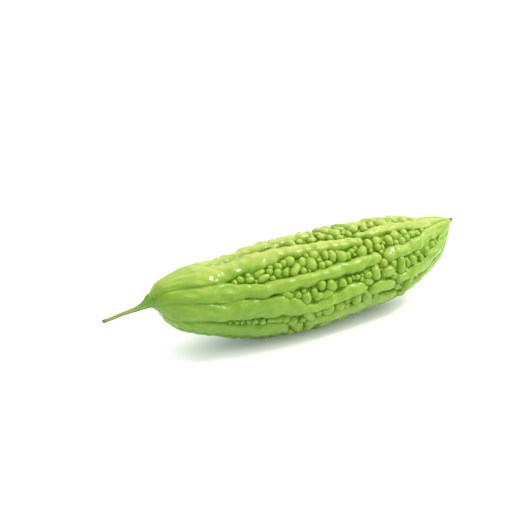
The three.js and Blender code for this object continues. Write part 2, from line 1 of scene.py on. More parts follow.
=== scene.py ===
# %% [markdown]
# # A bitter gourd
# A bitter gourd is a fruit with long broken ridges from stalk to tip, and round warts packed in
# the valleys between them. Its skin is waxy, pale on the ridges and deeper green in the creases.
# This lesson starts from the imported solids, which stay as they are for size and contact, and
# builds a finer skin, stalk and flower scar over them in the same frame. Every surface is worked
# out by a formula, because a fruit that grew has no flat face or true circle to start from.

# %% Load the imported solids
import math

import bpy
import numpy as np
from mathutils import Matrix, Vector


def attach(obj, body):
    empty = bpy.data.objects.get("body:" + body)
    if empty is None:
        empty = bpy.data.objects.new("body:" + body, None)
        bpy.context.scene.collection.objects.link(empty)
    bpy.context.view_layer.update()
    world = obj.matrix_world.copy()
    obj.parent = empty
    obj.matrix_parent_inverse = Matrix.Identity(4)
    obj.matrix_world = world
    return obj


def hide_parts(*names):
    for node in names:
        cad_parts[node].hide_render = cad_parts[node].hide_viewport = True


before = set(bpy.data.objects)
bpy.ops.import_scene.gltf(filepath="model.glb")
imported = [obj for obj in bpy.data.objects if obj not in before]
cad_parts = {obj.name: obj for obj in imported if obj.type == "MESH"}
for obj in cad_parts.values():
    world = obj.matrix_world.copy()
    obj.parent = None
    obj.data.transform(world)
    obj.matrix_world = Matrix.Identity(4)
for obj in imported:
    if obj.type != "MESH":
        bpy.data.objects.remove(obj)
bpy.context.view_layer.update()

MM = 0.001
print("solids:", sorted(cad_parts))

# %% [markdown]
# ## The fruit's measures
# These are the fruit's own sizes in millimetres. A place on the skin has a station, the distance
# from the stalk end, and an angle, 0 at the front, 90 on top and -90 on the belly. Each row of
# BODY has a station, the radius of the ridge tops there and the height of the fruit's axis. The
# fruit is sunk a little below the table and cut off there, so that it lies on small flat spots.

# %% Body measures
FRUIT_LENGTH = 218.0
NECK_X = -93.5
REST_SINK = 0.75
BODY = [
    (0, 4.3, 43.0), (8, 11.8, 43.0), (22, 19.4, 39.5), (45, 24.0, 34.5), (75, 29.6, 32.0),
    (109, 31.2, 31.2), (143, 29.3, 32.5), (172, 26.6, 34.2), (196, 18.2, 39.2), (209, 9.8, 45.2),
    (218, 2.0, 49.2),
]
VALLEY_DEPTH = [(0, 0.7), (8, 1.8), (22, 3.6), (60, 5.0), (110, 5.6), (160, 5.2), (200, 3.4), (218, 0.7)]
BELLY_SWELL = 0.06
BELLY_SWELL_SPREAD = 22.0

# %% [markdown]
# Ten ridges run from stalk to tip, and most are broken along the way. Each ridge is a chain of
# pieces, and each point of a piece is its station, angle and half-width. Two ridges on top are
# nearly one broad ridge by the stalk. Edges and crests wave, by shares of the width and of the
# valley depth that grow away from the stalk.

# %% Ridges
RIDGES = [
    [[(0, 104, 9), (10, 106, 14), (20, 105, 13), (32, 106, 10), (45, 106, 8.2), (57, 106, 8),
      (75, 104, 7), (92, 101, 5.8), (108, 98.5, 4.8)],
     [(142, 106, 4.8), (152, 107, 5.8), (170, 108, 6), (190, 111, 6), (218, 114, 5)]],
    [[(0, 62, 9), (5, 63, 12), (10, 68, 14), (20, 66.5, 13), (32, 68, 10.5), (40, 69.5, 9.2),
      (52, 73.5, 8.3), (70, 73, 8.7), (82, 74.5, 6.8), (98, 71.5, 5.9), (112, 68, 5.7),
      (128, 64.5, 5.4), (138, 62, 4.2)],
     [(141, 71, 3.4), (152, 71.5, 4.4), (162, 73.5, 5.1), (174, 74, 5.1), (186, 72, 5.2),
      (200, 72, 4.6), (218, 76, 5)]],
    [[(0, -2, 9), (5, 18, 12), (10, 25, 10.6), (20, 27, 8.2), (30, 29.2, 7), (40, 29.6, 7.3),
      (50, 30.2, 5.6), (62, 26.8, 5.5), (74, 28, 5.3), (90, 28, 5.6), (101, 29.5, 4.9), (114, 31, 5),
      (128, 31, 5.2), (140, 32.5, 5.3), (145.5, 34, 5)],
     [(157, 32.5, 5.8), (166, 33.5, 5.2), (180, 33.5, 5.3), (190, 37, 5.2), (200, 40, 5), (218, 42, 5)]],
    [[(0, -50, 9), (5, -32, 15), (10, -27, 18), (20, -11.5, 10.3), (30, -6.5, 7.4), (40, -3.5, 7.5),
      (50, 0, 8.4), (60, 0, 7.5), (70, 0.8, 8.3), (79, -1.5, 8.2), (84, -3, 7.9), (87, -5, 6.8),
      (89.5, -7.5, 5.1), (92, -9, 4.8), (100, -8.5, 5.2), (110, -5, 5.3), (120, -2, 6.1),
      (131, 0, 6.2)],
     [(142, -8, 5), (149, -10, 5.6), (155, -12, 5.2)],
     [(164, -6.5, 4.4), (174, -6.5, 5.2), (185, -6.5, 5), (196, -3, 4.8), (206, 1, 4.2), (218, 8, 5)]],
    [[(0, -80, 9), (5, -80, 12), (10, -79, 11), (20, -50, 7.4), (30, -42.5, 7.2), (40, -44, 7.6),
      (56, -45.5, 8.5), (68, -43, 8.3), (77, -40, 7.4)],
     [(98, -37, 5), (108, -34, 6), (120, -34, 6), (135, -35, 5.5), (150, -34, 5.2), (158, -34, 4.4)],
     [(169, -33, 4), (178, -32, 5), (190, -34, 4.5), (205, -35, 4.2), (218, -34, 5)]],
    [[(0, -106, 9), (10, -104, 9), (20, -86, 7.6), (50, -80, 7.4), (80, -77, 7.4), (109, -76, 7.2),
      (146, -75, 6.4)],
     [(159, -73, 5.8), (180, -72, 6.2), (200, -71, 5.2), (218, -70, 5)]],
    [[(0, -132, 9), (10, -130, 9), (20, -119, 7.6), (60, -108, 7.6), (109, -105, 7.2),
      (150, -106, 6.7), (185, -108, 6.2), (218, -106, 5)]],
    [[(0, -160, 9), (20, -153, 7.4), (60, -144, 7.4), (95, -142, 6.7), (124, -141, 5.4)],
     [(137, -144, 5.4), (152, -142, 6.4), (180, -143, 6.4), (200, -144, 5.2), (218, -142, 5)]],
    [[(0, 172, 9), (25, 176, 7.4), (60, 180, 7), (84, 178, 5.8)],
     [(97, 181, 5.6), (112, 178, 6.5), (140, 177, 6.3), (165, 179, 5.8), (190, 180, 5.4),
      (218, 182, 5)]],
    [[(0, 139, 9), (25, 140, 8), (60, 143, 7), (90, 142, 6.6), (114, 143, 5.4)],
     [(127, 140, 5.4), (150, 143, 6.4), (176, 144, 6.2), (200, 147, 5.2), (218, 148, 5)]],
]
RIDGE_OVERLAP = 1.12
RIDGE_SQUARENESS = 2.3
MERGED_RIDGES = (0, 1)
MERGED_OVERLAP = [(0, 1.6), (35, 1.6), (60, 1.12)]
EDGE_WAVE = [(0, 0.0), (35, 0.02), (80, 0.1), (218, 0.1)]
CREST_WAVE = [(0, 0.02), (40, 0.05), (90, 0.1), (218, 0.1)]

# %% [markdown]
# The warts that stand out have places of their own: station, angle, radius, and how far and which
# way they are drawn out, in degrees from the way to the tip. The rest are scattered, large to
# small: least radius, largest radius, tries, and how near a ridge's edge a wart may stand, as a
# share of its radius. The finest are beads.

# %% Warts
LARGE_WARTS = [
    (47, 46.5, 1.9, 0, 0), (57, 52, 2, 0, 0), (57, 45.5, 2.1, 0.8, 10), (64, 51.5, 2.2, 1.6, 20),
    (66, 43, 2.1, 2.2, 10), (70.5, 49, 2.2, 0, 0), (77, 54.5, 2.6, 0, 0), (75.5, 45.5, 2.6, 0, 0),
    (81.5, 56.5, 2.5, 0, 0), (80.8, 43.5, 2.5, 0, 0), (85.5, 57, 3, 0.6, 20), (87.5, 46, 2.7, 2, 40),
    (94.5, 52.5, 2.7, 0.8, 60), (99.5, 49, 3.7, 1, 60), (104, 58, 2.7, 0.8, 0),
    (106, 42.5, 2.6, 0, 0), (111.5, 55, 2.6, 0.6, 90), (116, 50.5, 2.9, 1.2, 90),
    (121.8, 47.5, 3.5, 0.8, 70), (121, 55, 2, 0, 0), (127.5, 45.5, 2.3, 0.6, 60),
    (130, 50.5, 2.2, 0, 0), (137.5, 47, 3, 1.4, 40), (144.5, 54, 3, 0.4, 60),
    (149.8, 47.5, 2.5, 0, 0), (151.5, 57, 2.8, 0.8, 20), (160, 53, 3.2, 0.5, 90),
    (164.5, 46.5, 2.5, 0, 0), (166.5, 58, 3.2, 0.8, 10), (175, 49, 2.6, 0, 0),
    (175.5, 59, 2.5, 0.4, 0), (181, 53.5, 2.5, 0.8, 0), (186, 53, 2.3, 0.4, 0),
    (191.5, 53.5, 1.9, 0, 0), (85.5, 12.5, 2.4, 0, 0), (91, 6, 3.7, 0.4, 90), (97, 12, 2.6, 0, 0),
    (99.5, 5, 2.8, 0.4, 20), (106, 6.5, 2.6, 1.8, 15), (110, 15, 3.2, 1.2, -50), (118, 14.5, 3, 0, 0),
    (123.5, 15.5, 1.9, 0, 0), (129.5, 15.5, 1.9, 0, 0), (137, 14, 2.7, 0, 0),
    (143, 13.5, 3.2, 1.6, 90), (144, 22.5, 2.2, 0, 0), (152.5, 9.5, 3.7, 1.4, 10),
    (163, 14, 3, 2.6, 80), (169, 12.5, 2.1, 0.6, 80), (173.5, 13.5, 2.9, 0.5, 80),
    (178.5, 19.5, 2.3, 0.3, 0), (186.5, 14, 3.2, 0, 0), (194, 18, 2, 0.3, 0),
    (161.5, -6, 2.9, 0.6, 90), (89, -37, 4.2, 0, 0), (102, 87, 2.2, 0.4, 0), (110, 85, 2.6, 0.5, 30),
    (118.6, 86, 2.8, 0.5, 20), (129, 88, 3.6, 0.8, 20), (136.6, 79, 2.4, 0, 0),
    (141.5, 88, 3, 0.5, 0), (125, 100, 3.2, 0.8, 0), (151, 91, 2.6, 0.4, 0), (44.5, -24.5, 1.2, 0, 0),
    (48.5, -23.3, 1.3, 0, 0), (52, -22.8, 1.5, 0, 0), (55.7, -22.3, 1.6, 0, 0),
    (59.6, -21.6, 2, 0, 0), (64.2, -21.3, 2.2, 0, 0), (69.2, -21.2, 1.8, 0.8, 0),
    (74.3, -21, 1.9, 1.2, 0), (79.6, -21, 2.2, 0.6, 0),
]
WART_SEED = 20
WART_SIZES = [(3.0, 4.2, 3000, 0.42), (2.2, 3.3, 5000, 0.42), (1.6, 2.4, 7000, 0.42)]
BEAD_SIZES = [(1.2, 1.6, 6000, 0.9)]
WART_FIRST_STATION = 30.0
WART_LAST_STATION = 211.0
WART_CROWDING = 0.92
WART_STRETCH = 0.95
print("ridges:", len(RIDGES), "placed warts:", len(LARGE_WARTS))

# %% Helpers for curves and angles
def smooth_read(table, x, column=1):
    """Value at x of a smooth curve through a table's points.

    Each stretch is a cubic whose slope at a point is that of the line between its neighbours.
    """
    knots = np.array([row[0] for row in table], dtype=float)
    values = np.array([row[column] for row in table], dtype=float)
    before = np.maximum(np.arange(len(knots)) - 1, 0)
    after = np.minimum(np.arange(len(knots)) + 1, len(knots) - 1)
    slopes = (values[after] - values[before]) / (knots[after] - knots[before])
    x = np.clip(x, knots[0], knots[-1])
    i = np.clip(np.searchsorted(knots, x, side="right") - 1, 0, len(knots) - 2)
    span = knots[i + 1] - knots[i]
    t = (x - knots[i]) / span
    return (
        (2 * t**3 - 3 * t**2 + 1) * values[i]
        + (t**3 - 2 * t**2 + t) * span * slopes[i]
        + (3 * t**2 - 2 * t**3) * values[i + 1]
        + (t**3 - t**2) * span * slopes[i + 1]
    )


def turn_between(start, end):
    """Shortest turn from one angle to another, from -180 to 180 degrees."""
    return (end - start + 180.0) % 360.0 - 180.0


def ridge_top_radius(station):
    return smooth_read(BODY, station, 1)


def valley_depth(station):
    return smooth_read(VALLEY_DEPTH, station)


# %% [markdown]
# ## Relief
# How far a place is across a ridge, from 0 on the crest to 1 at the edge, is its reach. A ridge's
# height follows from the reach alone, by a section with fuller sides than a half circle. Heights
# are shares of the valley depth, so the relief dies out by itself at both ends. A formula was
# chosen over sculpting because every ridge can then be moved, widened or broken by one number.

# %% Ridge reach
PIECES = [(ridge, points) for ridge, chain in enumerate(RIDGES) for points in chain]


def own_width(index, station, side):
    """A ridge piece's half-width on one side, with an edge that waves by two sines."""
    points = PIECES[index][1]
    phase = 2.4 * index
    held = np.clip(station, points[0][0], points[-1][0])
    wave = np.sin(held / 16 * 2 * np.pi + phase + 1.9 * side)
    ripple = np.sin(held / 8.7 * 2 * np.pi + 1.7 * phase - 1.3 * side)
    return smooth_read(points, held, 2) * (1 + smooth_read(EDGE_WAVE, held) * (wave + 0.5 * ripple))


def next_ridge(ridge, station, side):
    """Middle angle and facing half-width of the nearest piece of the next ridge on that side."""
    beside = (ridge - side) % len(RIDGES)
    nearest = np.full(np.shape(station), np.inf)
    middle = np.zeros(np.shape(station))
    width = np.ones(np.shape(station))
    for index, (owner, points) in enumerate(PIECES):
        if owner != beside:
            continue
        past = np.maximum(np.maximum(points[0][0] - station, station - points[-1][0]), 0)
        closer = past < nearest
        nearest = np.where(closer, past, nearest)
        middle = np.where(closer, smooth_read(points, station, 1), middle)
        width = np.where(closer, own_width(index, station, -side), width)
    return middle, width


def ridge_overlap(ridge, station, side):
    """Share by which two ridges that meet overlap: two are nearly one broad ridge by the stalk."""
    if {ridge, (ridge - side) % len(RIDGES)} == set(MERGED_RIDGES):
        return smooth_read(MERGED_OVERLAP, station)
    return RIDGE_OVERLAP


def ridge_width(index, station, side):
    """Half-width on one side, and the reach at which the ridge meets the next one, up to 1.

    Ridges that come too close share the space between them by their own widths. They overlap a
    little, so that the crease where they meet is not as deep as a valley.
    """
    ridge, points = PIECES[index]
    own = own_width(index, station, side)
    middle, facing = next_ridge(ridge, station, side)
    space = np.abs(np.radians(turn_between(smooth_read(points, station, 1), middle)))
    shared = space * ridge_top_radius(station) * own / (own + facing)
    width = np.minimum(own, ridge_overlap(ridge, station, side) * shared)
    return width, np.minimum(shared / width, 1)


def ridge_reach(index, station, angle):
    """Reach across a ridge piece, half-width, meeting reach, and the way out from its crest line.

    Reach is the distance from the crest line over the half-width. Past either end the distance is
    measured from the end point, so that the piece ends round.
    """
    points = PIECES[index][1]
    around = np.radians(turn_between(smooth_read(points, station, 1), angle)) * ridge_top_radius(station)
    upper, lower = ridge_width(index, station, 1), ridge_width(index, station, -1)
    width, meeting = (np.where(around > 0, a, b) for a, b in zip(upper, lower))
    past = station - np.clip(station, points[0][0], points[-1][0])
    distance = np.hypot(past, around)
    way = past / np.maximum(distance, 1e-9), around / np.maximum(distance, 1e-9)
    return distance / width, width, meeting, way


def crest_share(index, station):
    """Height of a ridge's crest as a share of the valley depth: a slow swell and small knobs."""
    phase = 2.4 * index
    swell = np.sin(station / 21 * 2 * np.pi + 1.3 * phase)
    knob = np.sin(station / 10.3 * 2 * np.pi + 2.1 * phase)
    return 1 - smooth_read(CREST_WAVE, station) * (0.5 - 0.3 * swell - 0.2 * knob)


def ridge_section(reach):
    """A ridge's height over its reach: 1 on top, 0 at the edge, with fuller sides than a circle."""
    return np.maximum(1 - reach**RIDGE_SQUARENESS, 0) ** (1 / RIDGE_SQUARENESS)


def ridge_share(station, angle):
    """Height of the ridges at a place, as a share of the valley depth."""
    heights = [
        crest_share(index, station) * ridge_section(np.minimum(ridge_reach(index, station, angle)[0], 1))
        for index in range(len(PIECES))
    ]
    return np.max(heights, axis=0)


# %% [markdown]
# Warts crowd every valley, and none stands on a ridge. They are scattered by throwing darts: each
# try falls at random and stays only where there is room, the large ones first. The draws are
# seeded, so every run gives the same fruit.

# %% Wart scattering
def seeded_numbers(seed, count):
    """Numbers from 0 to 1 in a fixed order: each is the last times a constant plus a constant."""
    numbers = np.empty(count)
    state = seed
    for i in range(count):
        state = (state * 1664525 + 1013904223) & 0xFFFFFFFF
        numbers[i] = state / 2**32
    return numbers


def ridge_distance(station, angle):
    """Distance from each place to the nearest ridge's edge."""
    distance = np.full(np.shape(station), np.inf)
    for index in range(len(PIECES)):
        reach, width, _, _ = ridge_reach(index, station, angle)
        distance = np.minimum(distance, (reach - 1) * width)
    return distance


def spine_points(stretch, heading_x, heading_y):
    """Ends and middle of a wart's spine, in millimetres from its own place."""
    ends = np.array([-1.0, 0.0, 1.0])
    return np.stack([np.multiply.outer(ends, stretch * heading) for heading in (heading_x, heading_y)])


FARTHEST_NEIGHBOUR = 14.0


def wart_room(place, warts):
    """Largest radius that the other warts leave: distance between spines less their radius."""
    if not len(warts):
        return np.inf
    near = warts[np.abs(warts[:, 0] - place[0]) <= FARTHEST_NEIGHBOUR]
    if not len(near):
        return np.inf
    radius = ridge_top_radius((near[:, 0] + place[0]) / 2)
    offset = np.stack([near[:, 0] - place[0], np.radians(turn_between(place[1], near[:, 1])) * radius])
    mine = spine_points(place[3], place[4], place[5])
    theirs = spine_points(near[:, 3], near[:, 4], near[:, 5])
    gap = offset[:, None, None, :] + theirs[:, None, :, :] - mine[:, :, None, None]
    distance = np.hypot(gap[0], gap[1]).min(axis=(0, 1))
    return np.min(distance / WART_CROWDING - near[:, 2])


def scatter_warts(sizes):
    """Rows of station, angle, radius, stretch and the spine's heading along and round.

    Each try falls at a random place and grows to the wanted radius or to the room there. It turns
    long where a long one has room.
    """
    places = np.array(LARGE_WARTS, dtype=float)
    heading = np.radians(places[:, 4:5])
    warts = np.hstack([places[:, :4], np.cos(heading), np.sin(heading)])
    draws = seeded_numbers(WART_SEED, 5 * sum(row[2] for row in sizes)).reshape(-1, 5)
    first = 0
    for least, most, tries, gap in sizes:
        draw = draws[first:first + tries]
        first += tries
        station = WART_FIRST_STATION + draw[:, 0] * (WART_LAST_STATION - WART_FIRST_STATION)
        angle = 360 * draw[:, 1] - 180
        wanted = least + draw[:, 2] * (most - least)
        heading = 2 * np.pi * draw[:, 3]
        length = WART_STRETCH * draw[:, 4]
        allowed = ridge_distance(station, angle) / gap
        for i in np.flatnonzero(allowed >= least):
            place = (station[i], angle[i], 0.0, 0.0, 1.0, 0.0)
            radius = min(wanted[i], allowed[i], wart_room(place, warts))
            if radius < least:
                continue
            spine = (length[i] * radius, math.cos(heading[i]), math.sin(heading[i]))
            long = (station[i], angle[i], radius, *spine)
            fits = wart_room(long, warts) >= radius
            row = long if fits else (station[i], angle[i], radius, 0.0, 1.0, 0.0)
            warts = np.vstack([warts, row])
    return warts


warts = scatter_warts(WART_SIZES + BEAD_SIZES)
print("warts and beads:", len(warts))

# %% [markdown]
# ## The skin's grid
# The skin is one sheet of stations by angles, closed by a point at each end. Rows are spaced
# evenly along the fruit's profile, so that the steep shoulder at the stalk gets its share. The
# grid is as fine as one piece may be, because the creases between the ridges are narrow.

# %% Rows and columns
ROWS = 336
COLUMNS = 290


def even_stations(count):
    """Stations an equal distance apart along the profile curve of radius over station."""
    fine = np.linspace(0, FRUIT_LENGTH, 4000)
    step = np.hypot(np.diff(fine), np.diff(ridge_top_radius(fine)))
    length = np.concatenate([[0], np.cumsum(step)])
    return np.interp(np.linspace(0, length[-1], count), length, fine)


stations = even_stations(ROWS)
angles = np.arange(COLUMNS) * 360.0 / COLUMNS - 180.0
station_grid, angle_grid = np.meshgrid(stations, angles, indexing="ij")
print("skin grid:", station_grid.shape, "triangles:", 2 * (ROWS - 1) * COLUMNS + 2 * COLUMNS)

# %% Gentle noise round the fruit
def ring_noise(station, angle, wavelength, seed, waves=14):
    """Smooth noise from -1 to 1 that closes round the fruit.

    It is a sum of sine waves in random directions, each with a whole number of turns round.
    """
    rng = np.random.default_rng(seed)
    total = np.zeros(np.shape(station))
    most_turns = 2 * np.pi * 28.0 / wavelength
    for _ in range(waves):
        heading = rng.uniform(0, 2 * np.pi)
        turns = round(most_turns * math.sin(heading))
        pace = 2 * np.pi / wavelength * math.cos(heading)
        total += np.sin(turns * np.radians(angle) + pace * station + rng.uniform(0, 2 * np.pi))
    return total / math.sqrt(waves)


# %% Wart heights
BED_REACH = 1.8
BED_SHARE = 0.6


def wart_share(radius):
    """A wart's height as a share of the valley depth: small ones stay lower."""
    return np.minimum(0.35 + 0.2 * radius, 0.97)


def wart_bed(station, angle):
    """Share of the valley depth to which the floor swells under the warts.

    Each wart raises a low dome that falls as the square of the distance from its spine.
    """
    bed = np.zeros(station.shape)
    for place, way, radius, stretch, along, around in warts:
        wide = stretch + BED_REACH * radius
        rows = np.flatnonzero(np.abs(stations - place) < wide)
        part = slice(rows[0], rows[-1] + 1)
        ahead = station[part] - place
        aside = np.radians(turn_between(way, angle[part])) * ridge_top_radius(place)
        held = np.clip(ahead * along + aside * around, -stretch, stretch)
        distance = np.hypot(ahead - held * along, aside - held * around)
        dome = 1 - (distance / (BED_REACH * radius)) ** 2
        bed[part] = np.maximum(bed[part], BED_SHARE * wart_share(radius) * dome)
    return bed


# %% [markdown]
# A ridge's flank is steep, and an even grid would put few rows of points on it. So each point is
# also moved sideways: its reach becomes the sine of a turn that grows evenly with reach, and its
# height is read there. Points then lie about evenly along the rounded section.

# %% Ridges over the grid
def roll_ridges(station, angle):
    """Moved stations and angles, and the share of the valley depth that the ridges reach."""
    nearest = np.ones(station.shape)
    share = np.zeros(station.shape)
    along = np.zeros(station.shape)
    around = np.zeros(station.shape)
    for index, (_, points) in enumerate(PIECES):
        rows = np.flatnonzero((stations > points[0][0] - 10) & (stations < points[-1][0] + 10))
        part = slice(rows[0], rows[-1] + 1)
        reach, width, meeting, way = ridge_reach(index, station[part], angle[part])
        wins = reach < nearest[part]
        held = np.minimum(reach, 1)
        turn = np.arcsin(meeting) * held / meeting
        turn = np.where(held > meeting, np.arcsin(held), turn)
        move = (np.sin(turn) - held) * width
        nearest[part] = np.where(wins, reach, nearest[part])
        rise = crest_share(index, station[part]) * ridge_section(np.sin(turn))
        share[part] = np.where(wins, rise, share[part])
        along[part] = np.where(wins, move * way[0], along[part])
        around[part] = np.where(wins, move * way[1], around[part])
    moved = station + along
    return moved, angle + np.degrees(around / np.maximum(ridge_top_radius(moved), 2)), share


rolled_station, rolled_angle, share = roll_ridges(station_grid, angle_grid)
rolled_station = np.clip(rolled_station, 0, FRUIT_LENGTH)
share = np.maximum(share, wart_bed(rolled_station, rolled_angle))
print("skin covered by ridges:", round(float((share > 0.02).mean()), 2))

# %% Skin points
def axis_frame(station):
    """Middle of the fruit at a station, its direction, and the direction across it that is up."""
    step = 0.5
    rise = (smooth_read(BODY, station + step, 2) - smooth_read(BODY, station - step, 2)) / (2 * step)
    run = np.stack([np.ones_like(rise), np.zeros_like(rise), rise], -1)
    run /= np.linalg.norm(run, axis=-1, keepdims=True)
    up = np.stack([-run[..., 2], np.zeros_like(rise), run[..., 0]], -1)
    middle = np.stack([NECK_X + station, 0 * rise, smooth_read(BODY, station, 2) - REST_SINK], -1)
    return middle, run, up


def skin_points(station, angle, share):
    """Middle plus radius times the direction at the angle.

    The radius is that of the ridge tops, swollen at the belly, less the valley depth where the
    relief is low.
    """
    middle, _, up = axis_frame(station)
    from_belly = turn_between(-90, angle) / BELLY_SWELL_SPREAD
    swell = 1 + BELLY_SWELL * np.exp(-(from_belly**2))
    radius = ridge_top_radius(station) * swell - valley_depth(station) * (1 - share)
    points = middle + up * (radius * np.sin(np.radians(angle)))[..., None]
    points[..., 1] -= radius * np.cos(np.radians(angle))
    return points


def grid_normals(points):
    """Outward normals: the cross product of the steps along and round the grid."""
    along = np.gradient(points, axis=0)
    around = np.roll(points, -1, axis=1) - np.roll(points, 1, axis=1)
    normals = np.cross(along, around)
    return normals / np.linalg.norm(normals, axis=-1, keepdims=True)


def blur(field, passes):
    """Each value becomes half itself and an eighth of each of its four neighbours."""
    for _ in range(passes):
        padded = np.concatenate([field[:1], field, field[-1:]])
        ends = padded[:-2] + padded[2:]
        sides = np.roll(field, 1, axis=1) + np.roll(field, -1, axis=1)
        field = field / 2 + (ends + sides) / 8
    return field


skin = skin_points(rolled_station, rolled_angle, share)
outward = grid_normals(skin)
facing = (outward * (skin - axis_frame(station_grid)[0])).sum(-1).mean()
print("normals point outwards:", bool(facing > 0))

# %% [markdown]
# The skin is never smooth. Soft lumps lie all over it, finer ones only on the ridges, and a third
# kind is drawn out along them. Each has a height in millimetres, a wavelength, a seed, and how
# many times longer it is along the fruit. They are moved points and not a bump in the material,
# so that they also show in the outline. They fade at both ends, where the ridges gather.

# %% Lumps
SOFT_LUMPS = (0.34, 15.0, 3, 1)
FINE_LUMPS = (0.24, 6.5, 4, 1)
DRAWN_LUMPS = (0.22, 5.5, 6, 5)


def lump_heights(height, wavelength, seed, stretch):
    """Height times the noise round the fruit, with stations divided by the stretch."""
    return height * ring_noise(station_grid / stretch, angle_grid, wavelength, seed)


on_ridges = np.clip(share * 1.5, 0, 1)
lumps = lump_heights(*SOFT_LUMPS) + on_ridges * (lump_heights(*FINE_LUMPS) + lump_heights(*DRAWN_LUMPS))
fade = np.clip(station_grid / 25, 0.15, 1) * np.clip((FRUIT_LENGTH - station_grid) / 15, 0.1, 1)
skin = skin + outward * (lumps * fade)[..., None]
skin = blur(skin, 1)
skin[..., 2] = np.maximum(skin[..., 2], 0.0)
print("deepest and highest lump:", round(float(lumps.min()), 2), round(float(lumps.max()), 2))

# %% Mesh helper
def mesh_from(name, points, faces):
    """A smooth mesh object in metres from millimetre points, with its place in its mesh."""
    mesh = bpy.data.meshes.new(name)
    mesh.from_pydata((np.asarray(points) * MM).tolist(), [], faces)
    mesh.polygons.foreach_set("use_smooth", np.full(len(mesh.polygons), True))
    mesh.update()
    thing = bpy.data.objects.new(name, mesh)
    bpy.context.scene.collection.objects.link(thing)
    return thing


def grid_faces(rows, columns):
    """Quads between neighbours of a grid that closes round, and a fan of triangles at each end."""
    row, column = np.meshgrid(np.arange(rows - 1), np.arange(columns), indexing="ij")
    here = row * columns + column
    beside = row * columns + (column + 1) % columns
    quads = np.stack([here, here + columns, beside + columns, beside], -1).reshape(-1, 4)
    ring = np.arange(columns)
    following = (ring + 1) % columns
    first, last = rows * columns, rows * columns + 1
    top = (rows - 1) * columns
    start_fan = np.stack([np.full(columns, first), ring, following], -1)
    end_fan = np.stack([np.full(columns, last), top + following, top + ring], -1)
    return quads.tolist() + start_fan.tolist() + end_fan.tolist()


# %% Skin mesh
neck = axis_frame(np.array([0.0]))[0][0]
tip, tip_run, _ = (part[0] for part in axis_frame(np.array([FRUIT_LENGTH])))
skin_vertices = np.vstack([skin.reshape(-1, 3), neck, tip])
gourd_skin = mesh_from("gourd_skin", skin_vertices, grid_faces(ROWS, COLUMNS))
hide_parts("gourd")
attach(gourd_skin, "root")
print("skin:", len(gourd_skin.data.vertices), "vertices")

# %% [markdown]
# ## What the colour needs to know
# The fruit's creases are deeper green of their own, and shade is painted into them and by the stalk
# as well. The places that face up, and most of all the very top, get painted light as from above,
# and the shoulder by the stalk gets painted shade. The mesh stores this as three numbers at each
# vertex, and the material only has to add them up: height, from the valley floor to the crest;
# hollow, how far the place lies below what is round it, which carries the painted shade; and
# painted light, how far it faces the sky.

# %% Painted light on the top and painted shade on the shoulder
TOP_LIGHT_START = 0.8
TOP_LIGHT_FULL = 1.0
TOP_LIGHT_RAISE = 0.15
TOP_LIGHT_SHADE_EASE = 0.7
SHOULDER_SHADE = 0.22
SHOULDER_END = 90.0
SHOULDER_FADE = 50.0


def store(thing, name, values):
    """Store one number at each vertex, for the material to read."""
    layer = thing.data.attributes.new(name, "FLOAT", "POINT")
    layer.data.foreach_set("value", np.asarray(values, dtype=np.float32))


def painted_top_light(points):
    """Painted light along the top: 1 in a band along the very top, 0 from its edges down."""
    station = points[:, 0] - NECK_X
    rise = (points[:, 2] + REST_SINK - smooth_read(BODY, station, 2)) / ridge_top_radius(station)
    return np.clip((rise - TOP_LIGHT_START) / (TOP_LIGHT_FULL - TOP_LIGHT_START), 0, 1)


def store_light(thing, points, hollow):
    """Store painted light and hollow at each vertex.

    The painted light is half the upward part of the normal plus a half, more along the top band
    and less on the shoulder by the stalk, where shade is painted. Hollow is eased along the top band,
    where even the creases get painted light.
    """
    # Painted light: a band along the very top of the fruit is paler.
    top_light = painted_top_light(points)
    station = points[:, 0] - NECK_X
    # Painted shade: the shoulder by the stalk, away from the top band, is darker.
    shoulder = (1 - top_light) * np.clip((SHOULDER_END - station) / SHOULDER_FADE, 0, 1)
    normals = np.empty(3 * len(points), dtype=np.float32)
    thing.data.vertex_normals.foreach_get("vector", normals)
    # Painted light from above: places that face up are paler.
    store(thing, "painted_light", 0.5 + 0.5 * normals[2::3] + TOP_LIGHT_RAISE * top_light - SHOULDER_SHADE * shoulder)
    # Along the top band the painted shade in the creases is eased.
    store(thing, "hollow", hollow * (1 - TOP_LIGHT_SHADE_EASE * top_light))


# %% Skin fields
NECK_SHADE = 0.4
NECK_SHADE_LENGTH = 3.0
# Hollow: creases are deeper green of their own and also get painted shade, and crests a little painted
# light. By the neck it adds painted shade.
hollow = np.clip(blur(share, 14) - share, -1, 1)
hollow += NECK_SHADE * np.exp(-station_grid / NECK_SHADE_LENGTH)
ends = np.zeros(2)
store(gourd_skin, "height", np.concatenate([share.ravel(), ends + 0.5]))
store_light(gourd_skin, skin_vertices, np.concatenate([hollow.ravel(), ends]))
print("hollow from", round(float(hollow.min()), 2), "to", round(float(hollow.max()), 2))

# %% [markdown]
# ## Warts
# Warts stand up like small balls, and their sides are undercut. A skin grid can't fold under
# itself, so each wart is its own closed ball on a short neck that is sunk in the valley floor.
# All of them are worked out at once: each row of the array is a wart, and each column one point
# of the ball's grid. There are hundreds of them, so each ball has few faces.

# %% Wart section
WART_SIDES = 16
BALL_RINGS = 7
WART_SUNK = 1.2


def wart_section():
    """Radius and height down a wart's side, from the top of its ball to the middle of its foot.

    It follows a circle to a little past its widest, then goes down and in. Height is 1 on top,
    0 at the widest and -1 at the foot. The first and the last entry are the two poles.
    """
    turn = np.linspace(0, np.pi / 2 * 1.15, BALL_RINGS)
    radius = np.concatenate([np.sin(turn), [0.95, 0.9, 0.0]])
    height = np.concatenate([np.cos(turn), [-0.6, -1.0, -1.0]])
    return radius, height


